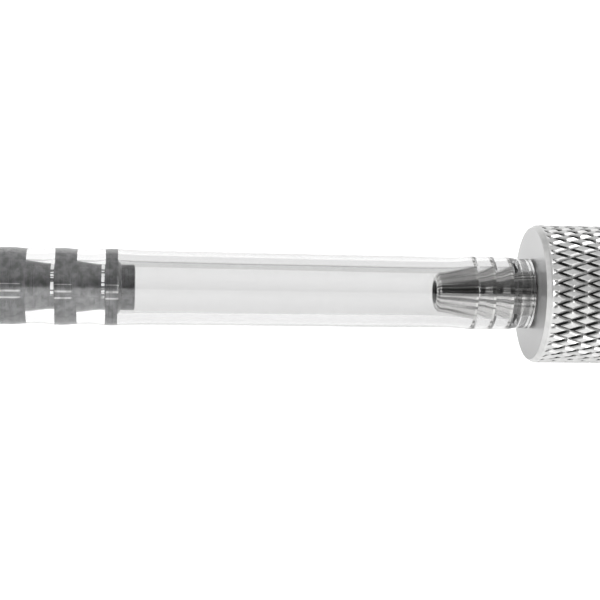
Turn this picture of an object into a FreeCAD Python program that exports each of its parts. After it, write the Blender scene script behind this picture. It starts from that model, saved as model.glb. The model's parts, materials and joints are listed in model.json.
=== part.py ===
import FreeCAD, Part
import Sketcher

import os
import re

# Fuel sampler: a clear sight tube pushed over a hose barb at each end. At +X is a swivelling probe head
# on a knurled nut, with a pin that opens a fuel drain. At -X is a small ball valve with a hose spout.
# The sampler lies along X. Z is up, Z = 0 is the surface that it lies on, and X = 0 is the middle
# of its length. All sizes are in millimetres.

doc = FreeCAD.newDocument("FuelSampler")

# ---------------------------------------------------------------- driving dimensions
SIZES = {
    # clear tube, the sample chamber
    "TubeOuterDia": 9.5,
    "TubeInnerDia": 6.3,
    "FreeSpan": 39.2,
    "TubeEndGap": 0.27,
    "GripGap": 0.02,
    # barbed tail at the valve end
    "TailTipDia": 5.88,
    "TailBarbDia": 7.04,
    "TailBoreDia": 3.4,
    "TailTipStraight": 1.7,
    "TailTipCone": 0.5,
    "TailTipLand": 1.5,
    "TailBarbPitch": 6.42,
    "TailBarbLand": 1.4,
    "TailBarbCone": 4.05,
    "TailRearLand": 2.6,
    "TailNeck": 3.3,
    "TailGripStart": 1.09,
    "TailThreadLength": 6.0,
    "TailThreadDia": 12.0,
    # hexagons of the valve end
    "HexAcross": 18.0,
    "HexFlange": 5.0,
    "HexChamfer": 0.9,
    "ChamferRise": 0.6,
    # ball valve
    "BallDia": 9.0,
    "BallBoreDia": 5.0,
    "BallGap": 0.25,
    "SeatGap": 0.03,
    "SeatFront": 2.6,
    "SeatThick": 2.6,
    "BodyHeel": 3.3,
    "SpoutDia": 6.4,
    "SpoutLength": 12.0,
    "SpoutBoreDia": 3.4,
    "SpoutRootDia": 5.6,
    "SpoutChamfer": 0.5,
    "BossDia": 9.6,
    "BossRise": 3.6,
    # valve stem and what stands on it
    "StemDia": 4.0,
    "StemGap": 0.05,
    "CollarDia": 5.0,
    "CollarThick": 1.3,
    "TangWidth": 1.6,
    "TangLength": 3.6,
    "TangDepth": 1.5,
    "PackingThick": 1.8,
    "PackingDia": 7.2,
    "GlandGrip": 2.2,
    "GlandHead": 1.6,
    "GlandAcross": 8.0,
    "GlandChamfer": 0.4,
    "StemFlats": 3.0,
    "StudDia": 3.0,
    "StudProud": 0.6,
    "NutAcross": 5.5,
    "NutThick": 2.4,
    "LockWasherDia": 6.4,
    "LockWasherThick": 0.7,
    # lever
    "LeverReach": 19.2,
    "LeverWidth": 7.0,
    "LeverThick": 1.5,
    "LeverHubDia": 14.4,
    "LeverDrop": 3.2,
    "LeverBendStart": 8.0,
    "LeverBendRun": 3.0,
    "NotchDia": 10.4,
    "SleeveWall": 0.9,
    "SleeveGap": 0.03,
    "SleeveReach": 7.6,
    "SleeveRound": 0.8,
    "StopPinDia": 1.8,
    "StopPinReach": 6.2,
    "StopGap": 0.12,
    "StopDepth": 2.0,
    "LeverGap": 0.3,
    # barbed tailpiece at the head end
    "NippleTipDia": 5.26,
    "NippleBarbDia": 6.9,
    "NippleStemDia": 5.84,
    "NippleBoreDia": 2.62,
    "NippleTipRim": 0.25,
    "NippleTipStraight": 0.6,
    "NippleLeadCone": 4.2,
    "NippleBarbLand": 0.45,
    "NippleBarbPitch": 2.35,
    "NippleNeck": 3.05,
    "NippleGripStart": 0.5,
    "FlangeDia": 11.6,
    "FlangeThick": 2.0,
    # knurled swivel nut
    "NutOuterDia": 18.2,
    "NutLength": 17.0,
    "NutChamfer": 0.36,
    "NutEndWall": 3.2,
    "NutBoreDia": 12.9,
    "JournalDia": 7.1,
    "SwivelGap": 0.05,
    "ThreadGap": 0.03,
    "ThrustWasherThick": 0.5,
    "ThrustWasherDia": 12.4,
    # probe head
    "SwivelRingSection": 1.5,
    "SwivelRingDia": 9.2,
    "RingGap": 0.02,
    "ProbeCollarDia": 16.0,
    "ProbeCollarLength": 3.0,
    "ProbeChamfer": 0.5,
    "SnoutDia": 14.0,
    "SnoutLength": 14.0,
    "ProbeBoreDia": 8.8,
    "ProbeInletDia": 3.2,
    "ProbeInletLength": 5.0,
    "SocketDia": 10.0,
    "SealWall": 1.2,
    "SocketDepth": 3.0,
    "SealProud": 0.8,
    "SealLip": 0.6,
    "SealChamfer": 0.3,
    "SpiderSetback": 9.0,
    "SpiderThick": 2.0,
    "SpiderRim": 0.8,
    "SpiderHubDia": 3.6,
    "SpokeWidth": 1.2,
    "PinDia": 2.4,
    "PinHeadDia": 3.4,
    "PinHeadThick": 1.2,
    "PinRecess": 0.4,
    "PinTipChamfer": 0.4,
    # ring between the valve body and the tail
    "TailRingSection": 1.2,
}

sheet = doc.addObject("Spreadsheet::Sheet", "Sizes")
for row, (alias, value) in enumerate(SIZES.items(), start=1):
    sheet.set(f"A{row}", alias)
    sheet.set(f"B{row}", str(value))
    sheet.setAlias(f"B{row}", alias)

# ---------------------------------------------------------------- derived sizes and stations along X
DERIVED = {
    # radii
    "TubeWallArea": "(TubeOuterDia ^ 2 - TubeInnerDia ^ 2) / 4",
    "TailGripRadius": "TailBarbDia / 2 + GripGap",
    "TailGripOuter": "sqrt(TailGripRadius ^ 2 + TubeWallArea)",
    "NippleGripRadius": "NippleBarbDia / 2 + GripGap",
    "NippleGripOuter": "sqrt(NippleGripRadius ^ 2 + TubeWallArea)",
    "CavityRadius": "BallDia / 2 + BallGap",
    "TailRingRadius": "TailThreadDia / 2 + TailRingSection / 2 + RingGap",
    "SealRadius": "SocketDia / 2 + SealWall",
    "StemHoleRadius": "StemDia / 2 + StemGap",
    # stations along X, measured from the middle of the free span
    "TailTip": "-FreeSpan / 2",
    "TailFirstLand": "TailTip - TailTipStraight - TailTipCone",
    "TailFirstPeak": "TailFirstLand - TailTipLand",
    "TailLastPeak": "TailFirstPeak - 2 * TailBarbPitch",
    "TailHexFace": "TailLastPeak - TailRearLand - TailNeck",
    "BodyFace": "TailHexFace - HexFlange",
    "TailEnd": "BodyFace - TailThreadLength",
    "SeatBack": "SeatFront + SeatThick",
    "BallCentre": "TailEnd - SeatBack",
    "CavityEnd": "BallCentre - SeatBack",
    "HeelFace": "CavityEnd - BodyHeel",
    "LeftEnd": "HeelFace - SpoutLength",
    "NippleTip": "FreeSpan / 2",
    "NippleFirstLand": "NippleTip + NippleTipStraight + NippleLeadCone",
    "NippleRoot": "NippleFirstLand + NippleBarbLand + 2 * NippleBarbPitch",
    "NutFace": "NippleRoot + NippleNeck",
    "FlangeFace": "NutFace + NutEndWall + ThrustWasherThick + 2 * SwivelGap",
    "FlangeBack": "FlangeFace + FlangeThick",
    "ProbeFace": "FlangeBack + SwivelGap",
    "NutMouth": "NutFace + NutLength",
    "SnoutEnd": "NutMouth + ProbeCollarLength + SnoutLength",
    "SocketFloor": "SnoutEnd - SocketDepth",
    "SpiderFace": "SocketFloor - SpiderSetback - SpiderThick",
    "RightEnd": "SnoutEnd + SealProud",
    "TubeStart": "TailHexFace + TubeEndGap",
    "TubeEnd": "NutFace - TubeEndGap",
    "Middle": "(LeftEnd + RightEnd) / 2",
    # heights, measured from the axis of the tube
    "AxisHeight": "NutOuterDia / 2",
    "CollarTop": "CavityRadius + CollarThick",
    "BossTop": "HexAcross / 2 + BossRise",
    "GlandFloor": "BossTop - GlandGrip",
    "PackingFloor": "GlandFloor - PackingThick",
    "GlandTop": "BossTop + GlandHead",
    "LeverFloor": "GlandTop + LeverGap",
    "LeverTop": "LeverFloor + LeverThick",
    "WasherTop": "LeverTop + LockWasherThick",
    "StudTop": "WasherTop + NutThick + StudProud",
}

places = doc.addObject("App::VarSet", "Places")
for name in DERIVED:
    places.addProperty("App::PropertyFloat", name)


def bound(text, here="Places."):
    """The expression with each size and derived value named in full."""
    def full(found):
        word = found.group(0)
        if word in SIZES:
            return "Sizes." + word
        return here + word if word in DERIVED else word
    return re.sub(r"[A-Za-z_]\w*", full, text)


doc.recompute()
for name, text in DERIVED.items():
    places.setExpression(name, bound(text, here=""))
    doc.recompute()

# ---------------------------------------------------------------- how pieces are made
ALONG = FreeCAD.Rotation(FreeCAD.Vector(0, 1, 0), 90)
FLAT_DOWN = ALONG.multiply(FreeCAD.Rotation(FreeCAD.Vector(0, 0, 1), 30))
UPRIGHT = FreeCAD.Rotation(FreeCAD.Vector(0, 1, 0), -90)


def locate(thing, x="0", y="0", z="0", turn=None):
    """Places a piece: x is a station along the tube, y and z are measured from the tube's axis."""
    if turn is not None:
        thing.Placement = FreeCAD.Placement(FreeCAD.Vector(), turn)
    for letter, text in zip("xyz", (f"{x} - Middle", y, f"{z} + AxisHeight")):
        thing.setExpression(f".Placement.Base.{letter}", bound(text))
    return thing


def primitive(kind, label, **sizes):
    thing = doc.addObject(kind, label)
    for name, text in sizes.items():
        if isinstance(text, str):
            thing.setExpression(name, bound(text))
        else:
            setattr(thing, name, text)
    return thing


def outlined(body, label, points):
    """A closed outline in the body's XY plane. Each point is two expressions, neither below zero."""
    sketch = body.newObject("Sketcher::SketchObject", label + "_outline")
    plane = next(f for f in body.Origin.OriginFeatures if f.Role == "XY_Plane")
    sketch.AttachmentSupport = (plane, [""])
    sketch.MapMode = "FlatFace"
    places_now = [[float(sketch.evalExpression(bound(text))) for text in point] for point in points]
    corners = [FreeCAD.Vector(u, v, 0) for u, v in places_now]
    for start, end in zip(corners, corners[1:] + corners[:1]):
        sketch.addGeometry(Part.LineSegment(start, end))
    for number in range(len(points)):
        after = (number + 1) % len(points)
        sketch.addConstraint(Sketcher.Constraint("Coincident", number, 2, after, 1))
    for number, (point, corner) in enumerate(zip(points, corners)):
        for kind, text, value, axis in zip(("DistanceX", "DistanceY"), point, corner, (-2, -1)):
            if text == "0":
                sketch.addConstraint(Sketcher.Constraint("PointOnObject", number, 1, axis))
                continue
            index = sketch.addConstraint(Sketcher.Constraint(kind, -1, 1, number, 1, value))
            sketch.setExpression(f"Constraints[{index}]", bound(text))
    return sketch


def turned(label, points, **place):
    """A piece turned about its own X axis. Each point is how far along, then its radius."""
    body = doc.addObject("PartDesign::Body", label)
    sketch = outlined(body, label, points)
    spin = body.newObject("PartDesign::Revolution", label + "_turning")
    spin.Profile = sketch
    spin.ReferenceAxis = (sketch, ["H_Axis"])
    spin.Angle = 360
    return locate(body, **place)


def ring(label, thick, inner, outer, **place):
    """A turned ring with square edges."""
    points = [("0", inner), (thick, inner), (thick, outer), ("0", outer)]
    return turned(label, points, **place)


def block(label, x, y, z, size):
    """A box from its lowest corner."""
    box = primitive("Part::Box", label, Length=size[0], Width=size[1], Height=size[2])
    return locate(box, x, y, z)


def rod(label, radius, length, turn=None, **place):
    return locate(primitive("Part::Cylinder", label, Radius=radius, Height=length), turn=turn, **place)


def hexagon(label, across, thick, chamfer, turn, **place):
    """A hexagonal bar along its local Z, both ends chamfered by a turned cone."""
    corner = f"({across}) / sqrt(3)"
    bar = primitive("Part::Prism", label + "_bar", Polygon=6, Circumradius=corner, Height=thick)
    shy = f"{corner} - {chamfer}"
    rise = f"{chamfer} * ChamferRise"
    points = [
        ("0", "0"),
        (thick, "0"),
        (thick, shy),
        (f"{thick} - {rise}", corner),
        (rise, corner),
        ("0", shy),
    ]
    limit = turned(label + "_limit", points, turn=turn.multiply(UPRIGHT), **place)
    return joined("Part::MultiCommon", label, locate(bar, turn=turn, **place), limit)


def joined(kind, label, *pieces):
    result = doc.addObject(kind, label)
    result.Shapes = list(pieces)
    result.Refine = True
    return result


def fused(label, *pieces):
    return joined("Part::MultiFuse", label, *pieces)


def cut(label, base, *tools):
    result = doc.addObject("Part::Cut", label)
    result.Base = base
    result.Tool = tools[0] if len(tools) == 1 else fused(label + "_hollows", *tools)
    result.Refine = True
    return result


def o_ring(label, radius, section, x):
    torus = primitive("Part::Torus", label, Radius1=radius, Radius2=f"{section} / 2")
    return locate(torus, x=x, turn=ALONG)


def stepped(label, bores, **place):
    """A solid of revolution from a run of (start, end, radius), to be cut away as one stepped bore."""
    points = [(bores[0][0], "0")]
    for start, end, radius in bores:
        points += [(start, radius), (end, radius)]
    points.append((bores[-1][1], "0"))
    return turned(label, points, **place)


# ---------------------------------------------------------------- the clear tube
def sight_tube():
    """Stretched over the barbs at both ends at a constant wall section."""
    run = [
        ("0", "TailGripRadius", "TailGripOuter"),
        ("TailFirstLand - TubeStart", "TailGripRadius", "TailGripOuter"),
        ("TailTip - TailGripStart - TubeStart", "TubeInnerDia / 2", "TubeOuterDia / 2"),
        ("NippleTip + NippleGripStart - TubeStart", "TubeInnerDia / 2", "TubeOuterDia / 2"),
        ("NippleFirstLand - TubeStart", "NippleGripRadius", "NippleGripOuter"),
        ("TubeEnd - TubeStart", "NippleGripRadius", "NippleGripOuter"),
    ]
    inside = [(along, inner) for along, inner, outer in run]
    outside = [(along, outer) for along, inner, outer in reversed(run)]
    return turned("sight_tube", inside + outside, x="TubeStart")


# ---------------------------------------------------------------- the valve end
def hose_tail():
    """Threaded spigot, hexagon, and three barbs that point at the tube's middle."""
    stem = "TailTipDia / 2"
    peak = "TailBarbDia / 2"
    points = [
        ("0", "0"),
        ("0", "TailThreadDia / 2"),
        ("BodyFace + HexChamfer - TailEnd", "TailThreadDia / 2"),
        ("BodyFace + HexChamfer - TailEnd", stem),
        ("TailLastPeak - TailRearLand - TailEnd", stem),
        ("TailLastPeak - TailRearLand - TailEnd", peak),
    ]
    for barb in (2, 1):
        back = f"TailFirstPeak - {barb} * TailBarbPitch - TailEnd"
        points += [
            (f"{back} + TailBarbLand", peak),
            (f"{back} + TailBarbLand + TailBarbCone", stem),
            (f"{back} + TailBarbPitch", stem),
            (f"{back} + TailBarbPitch", peak),
        ]
    points += [
        ("TailFirstLand - TailEnd", peak),
        ("TailTip - TailTipStraight - TailEnd", stem),
        ("TailTip - TailEnd", stem),
        ("TailTip - TailEnd", "0"),
    ]
    core = turned("tail_core", points, x="TailEnd")
    flange = hexagon("tail_flange", "HexAcross", "HexFlange", "HexChamfer", FLAT_DOWN, x="BodyFace")
    bore = rod("tail_bore", "TailBoreDia / 2", "TailTip - TailEnd", x="TailEnd", turn=ALONG)
    return cut("hose_tail", fused("tail_solid", core, flange), bore)


def valve_body():
    """Hexagonal bar: the tail's thread in front, the ball's chamber behind it, a hole for the spout."""
    length = "BodyFace - HeelFace"
    bar = hexagon("body_bar", "HexAcross", length, "HexChamfer", FLAT_DOWN, x="HeelFace")
    boss = rod("body_boss", "BossDia / 2", "BossTop - CavityRadius", x="BallCentre", z="CavityRadius")
    flow = stepped("body_flow", [
        ("0", "CavityEnd - HeelFace", "SpoutRootDia / 2"),
        ("CavityEnd - HeelFace", "TailEnd - HeelFace", "CavityRadius"),
        ("TailEnd - HeelFace", "BodyFace - TailRingSection - HeelFace", "TailThreadDia / 2 + ThreadGap"),
        ("BodyFace - TailRingSection - HeelFace", "BodyFace - HeelFace",
         "TailRingRadius + TailRingSection / 2 + RingGap"),
    ], x="HeelFace")
    stem_way = stepped("body_stem_way", [
        ("0", "CollarTop + StemGap", "CollarDia / 2 + StemGap"),
        ("CollarTop + StemGap", "PackingFloor", "StemHoleRadius"),
        ("PackingFloor", "BossTop", "PackingDia / 2 + ThreadGap"),
    ], x="BallCentre", turn=UPRIGHT)
    pin_hole = rod("body_pin_hole", "StopPinDia / 2", "StopDepth",
                   x="BallCentre + StopPinReach", z="HexAcross / 2 - StopDepth")
    return cut("valve_body", fused("body_solid", bar, boss), flow, stem_way, pin_hole)


def outlet_spout():
    """Its narrower root is pressed into the body's back. A chamfer leads a hose onto its other end."""
    bore = "SpoutBoreDia / 2"
    return turned("outlet_spout", [
        ("0", bore),
        ("0", "SpoutDia / 2 - SpoutChamfer"),
        ("SpoutChamfer", "SpoutDia / 2"),
        ("HeelFace - LeftEnd", "SpoutDia / 2"),
        ("HeelFace - LeftEnd", "SpoutRootDia / 2"),
        ("CavityEnd - LeftEnd", "SpoutRootDia / 2"),
        ("CavityEnd - LeftEnd", bore),
    ], x="LeftEnd")


def seat(label, x, ball_side):
    """A ring with a hollow for the ball on one side."""
    blank = ring(label + "_blank", "SeatThick", "BallBoreDia / 2", "CavityRadius", x=x)
    ball = primitive("Part::Sphere", label + "_hollow", Radius="BallDia / 2 + SeatGap")
    return cut(label, blank, locate(ball, x=ball_side))


def valve_ball():
    ball = locate(primitive("Part::Sphere", "ball_solid", Radius="BallDia / 2"), x="BallCentre")
    bore = rod("ball_bore", "BallBoreDia / 2", "BallDia", x="BallCentre - BallDia / 2", turn=ALONG)
    slot = block("ball_slot", "BallCentre - TangWidth / 2", "-BallDia / 2", "BallDia / 2 - TangDepth",
                 ("TangWidth", "BallDia", "TangDepth"))
    return cut("valve_ball", ball, bore, slot)


def valve_stem():
    """Tang, collar, shaft, two flats for the lever and a threaded stud, in one piece."""
    shaft = turned("stem_shaft", [
        ("0", "0"),
        ("0", "CollarDia / 2"),
        ("CollarThick", "CollarDia / 2"),
        ("CollarThick", "StemDia / 2"),
        ("LeverTop - CavityRadius", "StemDia / 2"),
        ("LeverTop - CavityRadius", "StudDia / 2"),
        ("StudTop - CavityRadius", "StudDia / 2"),
        ("StudTop - CavityRadius", "0"),
    ], x="BallCentre", z="CavityRadius", turn=UPRIGHT)
    tang_foot = "BallDia / 2 - TangDepth + StemGap"
    tang = block("stem_tang", "BallCentre - TangWidth / 2 + StemGap", "-TangLength / 2", tang_foot,
                 ("TangWidth - 2 * StemGap", "TangLength", f"CavityRadius - ({tang_foot})"))
    tools = []
    for name, low in (("near", "-StemDia"), ("far", "StemFlats / 2")):
        width = "StemDia - StemFlats / 2"
        tools.append(block(f"stem_flat_{name}", "BallCentre - StemDia", low, "LeverFloor",
                           ("2 * StemDia", width, "LeverThick")))
    return cut("valve_stem", fused("stem_solid", shaft, tang), *tools)


def stem_packing():
    return ring("stem_packing", "PackingThick", "StemHoleRadius", "PackingDia / 2",
                x="BallCentre", z="PackingFloor", turn=UPRIGHT)


def gland_nut():
    head = hexagon("gland_head", "GlandAcross", "GlandHead", "GlandChamfer",
                   FreeCAD.Rotation(), x="BallCentre", z="BossTop")
    grip = rod("gland_grip", "PackingDia / 2", "GlandTop - GlandFloor - GlandChamfer",
               x="BallCentre", z="GlandFloor")
    hole = rod("gland_hole", "StemHoleRadius", "GlandTop - GlandFloor", x="BallCentre", z="GlandFloor")
    return cut("gland_nut", fused("gland_solid", head, grip), hole)


def stop_pin():
    return rod("stop_pin", "StopPinDia / 2", "LeverTop - HexAcross / 2 + StopDepth",
               x="BallCentre + StopPinReach", z="HexAcross / 2 - StopDepth")


def lever():
    """A flat hub with a quarter notch for the stop pin, then an arm that steps down towards the spout."""
    hub = rod("lever_hub", "LeverHubDia / 2", "LeverThick", x="BallCentre", z="LeverFloor")
    body = doc.addObject("PartDesign::Body", "lever_arm")
    fold = "LeverThick * LeverDrop / LeverBendRun / 2"
    bend_end = "LeverBendStart + LeverBendRun"
    sketch = outlined(body, "lever_arm", [
        ("0", "LeverDrop"),
        (f"LeverBendStart - {fold} / 2", "LeverDrop"),
        (f"{bend_end} - {fold} / 2", "0"),
        ("LeverReach", "0"),
        ("LeverReach", "LeverThick"),
        (f"{bend_end} + {fold} / 2", "LeverThick"),
        (f"LeverBendStart + {fold} / 2", "LeverDrop + LeverThick"),
        ("0", "LeverDrop + LeverThick"),
    ])
    pad = body.newObject("PartDesign::Pad", "lever_arm_pad")
    pad.Profile = sketch
    pad.setExpression("Length", bound("LeverWidth"))
    pad.Midplane = True
    side_view = FreeCAD.Rotation(FreeCAD.Vector(-1, 0, 0), FreeCAD.Vector(0, 0, 1), FreeCAD.Vector(0, 1, 0))
    locate(body, x="BallCentre", z="LeverFloor - LeverDrop", turn=side_view)
    reach = "LeverHubDia"
    edge = "(StopPinDia / 2 + StopGap)"
    quarter = block("lever_quarter", f"BallCentre - {edge}", f"{edge} - {reach}", "LeverFloor",
                    (reach, reach, "LeverThick"))
    kept = rod("lever_notch_floor", "NotchDia / 2", "LeverThick", x="BallCentre", z="LeverFloor")
    notch = cut("lever_notch", quarter, kept)
    hole_round = rod("lever_hole_round", "StemDia / 2", "LeverThick", x="BallCentre", z="LeverFloor")
    hole_flats = block("lever_hole_flats", "BallCentre - StemDia", "-StemFlats / 2", "LeverFloor",
                       ("2 * StemDia", "StemFlats", "LeverThick"))
    hole = joined("Part::MultiCommon", "lever_hole", hole_round, hole_flats)
    return cut("lever", fused("lever_solid", hub, body), notch, hole)


def lever_sleeve():
    """A soft sleeve with a closed end, pushed over the arm's end."""
    outer_width = "LeverWidth + 2 * SleeveGap + 2 * SleeveWall"
    outer_height = "LeverThick + 2 * SleeveGap + 2 * SleeveWall"
    left = "BallCentre - LeverReach - SleeveGap"
    foot = "LeverFloor - LeverDrop - SleeveGap"
    shell = block("sleeve_shell", f"{left} - SleeveWall", f"-({outer_width}) / 2", f"{foot} - SleeveWall",
                  ("SleeveReach + SleeveWall", outer_width, outer_height))
    rounded = doc.addObject("Part::Fillet", "sleeve_rounded")
    rounded.Base = shell
    doc.recompute()
    radius = sheet.SleeveRound
    long_edges = [number for number, edge in enumerate(shell.Shape.Edges, start=1)
                  if edge.tangentAt(edge.FirstParameter).x ** 2 > 0.5]
    rounded.Edges = [(number, radius, radius) for number in long_edges]
    pocket = block("sleeve_pocket", left, "-LeverWidth / 2 - SleeveGap", foot,
                   ("SleeveReach", "LeverWidth + 2 * SleeveGap", "LeverThick + 2 * SleeveGap"))
    return cut("lever_sleeve", rounded, pocket)


def lever_washer():
    return ring("lever_washer", "LockWasherThick", "StudDia / 2 + StemGap", "LockWasherDia / 2",
                x="BallCentre", z="LeverTop", turn=UPRIGHT)


def lever_nut():
    blank = hexagon("lever_nut_blank", "NutAcross", "NutThick", "GlandChamfer",
                    FreeCAD.Rotation(), x="BallCentre", z="WasherTop")
    hole = rod("lever_nut_hole", "StudDia / 2 + ThreadGap", "NutThick", x="BallCentre", z="WasherTop")
    return cut("lever_nut", blank, hole)


# ---------------------------------------------------------------- the head end
def barbed_nipple():
    """Three close barbs, a journal for the swivel nut and the flange that it pulls on."""
    peak = "NippleBarbDia / 2"
    stem = "NippleStemDia / 2"
    tip = "NippleTipDia / 2"
    start = "NippleTipStraight + NippleLeadCone"
    bore = "NippleBoreDia / 2"
    points = [
        ("0", f"{bore} + NippleTipRim"),
        ("0", f"{tip} - NippleTipRim"),
        ("NippleTipRim", tip),
        ("NippleTipStraight", tip),
        (start, peak),
        (f"{start} + NippleBarbLand", peak),
    ]
    for barb in (1, 2):
        back = f"{start} + NippleBarbLand + {barb - 1} * NippleBarbPitch"
        points += [
            (back, stem),
            (f"{back} + NippleBarbPitch - NippleBarbLand", peak),
            (f"{back} + NippleBarbPitch", peak),
        ]
    points += [
        ("NippleRoot - NippleTip", stem),
        ("NutFace - NippleTip", stem),
        ("NutFace - NippleTip", "JournalDia / 2"),
        ("FlangeFace - NippleTip", "JournalDia / 2"),
        ("FlangeFace - NippleTip", "FlangeDia / 2"),
        ("FlangeBack - NippleTip", "FlangeDia / 2"),
        ("FlangeBack - NippleTip", bore),
        ("NippleTipRim", bore),
    ]
    return turned("barbed_nipple", points, x="NippleTip")


def swivel_nut():
    """Knurled grip, turned here to the crests of the knurl, with the probe's thread inside."""
    outer = "NutOuterDia / 2"
    bore = "NutBoreDia / 2"
    hole = "JournalDia / 2 + SwivelGap"
    return turned("swivel_nut", [
        ("0", hole),
        ("0", f"{outer} - NutChamfer"),
        ("NutChamfer", outer),
        ("NutLength - NutChamfer", outer),
        ("NutLength", f"{outer} - NutChamfer"),
        ("NutLength", bore),
        ("NutEndWall", bore),
        ("NutEndWall", hole),
    ], x="NutFace")


def thrust_washer():
    return ring("thrust_washer", "ThrustWasherThick", "JournalDia / 2 + SwivelGap", "ThrustWasherDia / 2",
                x="NutFace + NutEndWall + SwivelGap")


def probe_head():
    """Screws into the nut, traps the nipple's flange, and ends in the socket that meets the drain."""
    snout = "SnoutDia / 2"
    blank = turned("probe_blank", [
        ("0", "0"),
        ("0", "NutBoreDia / 2 - ThreadGap - ProbeChamfer"),
        ("ProbeChamfer", "NutBoreDia / 2 - ThreadGap"),
        ("NutMouth - ProbeFace", "NutBoreDia / 2 - ThreadGap"),
        ("NutMouth - ProbeFace", "ProbeCollarDia / 2 - ProbeChamfer"),
        ("NutMouth + ProbeChamfer - ProbeFace", "ProbeCollarDia / 2"),
        ("NutMouth + ProbeCollarLength - ProbeChamfer - ProbeFace", "ProbeCollarDia / 2"),
        ("NutMouth + ProbeCollarLength - ProbeFace", "ProbeCollarDia / 2 - ProbeChamfer"),
        ("NutMouth + ProbeCollarLength - ProbeFace", snout),
        ("SnoutEnd - SealChamfer - ProbeFace", snout),
        ("SnoutEnd - ProbeFace", f"{snout} - SealChamfer"),
        ("SnoutEnd - ProbeFace", "0"),
    ], x="ProbeFace")
    flow = stepped("probe_flow", [
        ("0", "ProbeInletLength", "ProbeInletDia / 2"),
        ("ProbeInletLength", "SpiderFace - ProbeFace", "ProbeBoreDia / 2"),
        ("SpiderFace - ProbeFace", "SocketFloor - ProbeFace", "SocketDia / 2"),
        ("SocketFloor - ProbeFace", "SnoutEnd - ProbeFace", "SealRadius"),
    ], x="ProbeFace")
    groove = ring("probe_ring_groove", "SwivelRingSection - SwivelGap",
                  "SwivelRingDia / 2 - SwivelRingSection / 2 - RingGap",
                  "SwivelRingDia / 2 + SwivelRingSection / 2 + RingGap", x="ProbeFace")
    return cut("probe_head", blank, flow, groove)


def pin_spider():
    """Rim, three spokes and hub: it carries the pin and lets fuel past."""
    rim = ring("spider_rim", "SpiderThick", "SocketDia / 2 - SpiderRim", "SocketDia / 2", x="SpiderFace")
    hub = rod("spider_hub", "SpiderHubDia / 2", "SpiderThick", x="SpiderFace", turn=ALONG)
    middle = "SpiderFace + SpiderThick / 2"
    spokes = []
    for number in range(3):
        outward = FreeCAD.Rotation(FreeCAD.Vector(1, 0, 0), 120 * number)
        spokes.append(rod(f"spider_spoke_{number + 1}", "SpokeWidth / 2", "SocketDia / 2 - SpiderRim / 2",
                          x=middle, turn=outward))
    hole = rod("spider_hole", "PinDia / 2", "SpiderThick", x="SpiderFace", turn=ALONG)
    return cut("pin_spider", fused("spider_solid", rim, hub, *spokes), hole)


def drain_pin():
    """Headed pin that pushes the drain's poppet open."""
    end = "RightEnd - PinRecess - SpiderFace + PinHeadThick"
    return turned("drain_pin", [
        ("0", "0"),
        ("0", "PinHeadDia / 2"),
        ("PinHeadThick", "PinHeadDia / 2"),
        ("PinHeadThick", "PinDia / 2"),
        (f"{end} - PinTipChamfer", "PinDia / 2"),
        (end, "PinDia / 2 - PinTipChamfer"),
        (end, "0"),
    ], x="SpiderFace - PinHeadThick")


def probe_seal():
    """Soft ring in the socket's mouth, standing proud so that it seals round the drain."""
    inner = "SocketDia / 2"
    deep = "SocketDepth + SealProud"
    return turned("probe_seal", [
        ("0", inner),
        (f"{deep} - SealLip", inner),
        (deep, f"{inner} + SealLip / 2"),
        (deep, "SealRadius - SealChamfer"),
        (f"{deep} - SealChamfer", "SealRadius"),
        ("0", "SealRadius"),
    ], x="SocketFloor")


pieces = [
    sight_tube(),
    hose_tail(),
    o_ring("tail_seal_ring", "TailRingRadius", "TailRingSection", x="BodyFace - TailRingSection / 2"),
    valve_body(),
    outlet_spout(),
    seat("front_seat", "BallCentre + SeatFront", "BallCentre"),
    seat("rear_seat", "CavityEnd", "BallCentre"),
    valve_ball(),
    valve_stem(),
    stem_packing(),
    gland_nut(),
    stop_pin(),
    lever(),
    lever_sleeve(),
    lever_washer(),
    lever_nut(),
    barbed_nipple(),
    swivel_nut(),
    thrust_washer(),
    o_ring("swivel_seal_ring", "SwivelRingDia / 2", "SwivelRingSection",
           x="FlangeBack + SwivelRingSection / 2"),
    probe_head(),
    pin_spider(),
    drain_pin(),
    probe_seal(),
]

# ---------------------------------------------------------------- checks and files
doc.recompute()
for thing in doc.Objects:
    if {"Invalid", "Error"} & set(thing.State):
        raise RuntimeError(f"{thing.Label} failed: {thing.State}")

os.makedirs("parts", exist_ok=True)
for piece in pieces:
    shape = piece.Shape
    if shape.isNull() or not shape.isValid() or not shape.Solids:
        raise RuntimeError(f"{piece.Label} has no valid solid")
    shape.exportStep(f"parts/{piece.Label}.step")
    box = shape.optimalBoundingBox()
    print(f"{piece.Label}: {len(shape.Solids)} solid, {shape.Volume:.1f} mm3, "
          f"x {box.XMin:.2f} to {box.XMax:.2f}, z {box.ZMin:.2f} to {box.ZMax:.2f}")
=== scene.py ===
import json
import math

import bmesh
import bpy
import numpy as np
from mathutils import Matrix, Vector

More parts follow.
